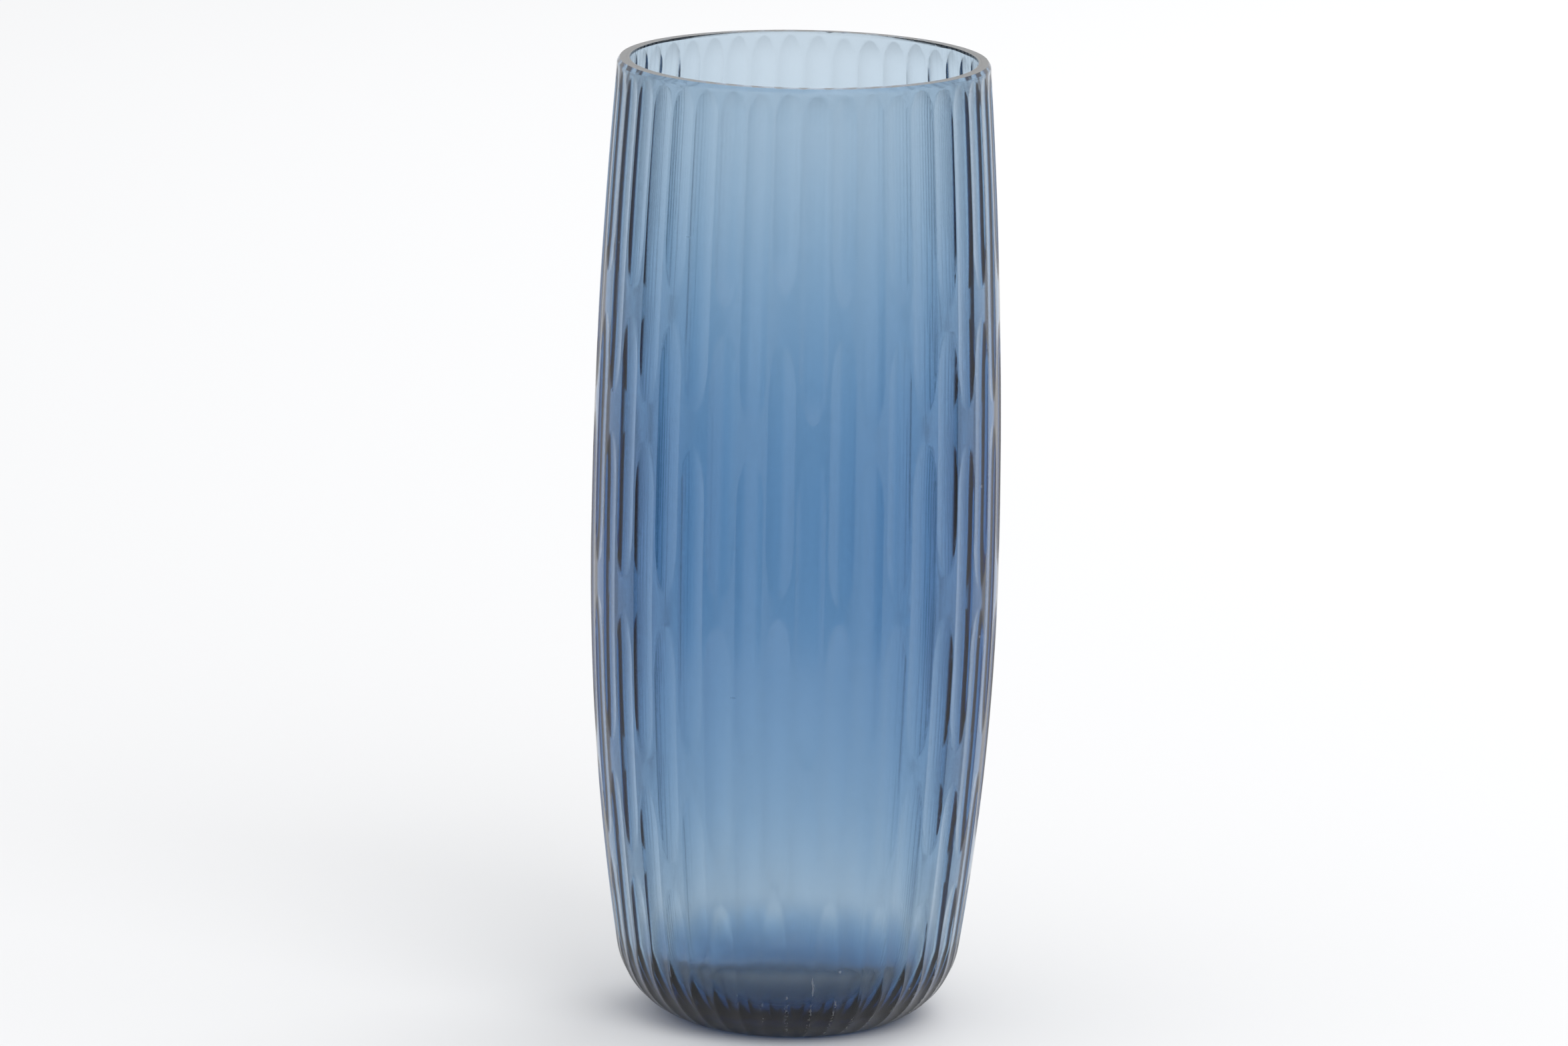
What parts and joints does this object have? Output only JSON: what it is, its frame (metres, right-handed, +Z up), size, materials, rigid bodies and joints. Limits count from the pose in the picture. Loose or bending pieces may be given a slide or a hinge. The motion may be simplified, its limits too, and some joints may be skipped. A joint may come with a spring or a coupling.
{
  "type": "cut glass flower vase",
  "caption": "Tall barrel-shaped glass vase: a smoke-grey casing with cut vertical flutes, fused over a blue lining, with a flat ground rim and a thick base.",
  "frame": {"origin": "centre of the foot, on the surface that the vase stands on", "axes": "+Z up along the vase's axis; +X and +Y across it, with a flute column that has two bridges centred on +X"},
  "size_m": [0.1386, 0.1388, 0.33],
  "materials": {
    "smoke_glass": "polished, hand-cut",
    "blue_glass": "polished"
  },
  "bodies": {
    "root": {"smoke_casing": "smoke_glass", "blue_lining": "blue_glass"}
  },
  "joints": []
}
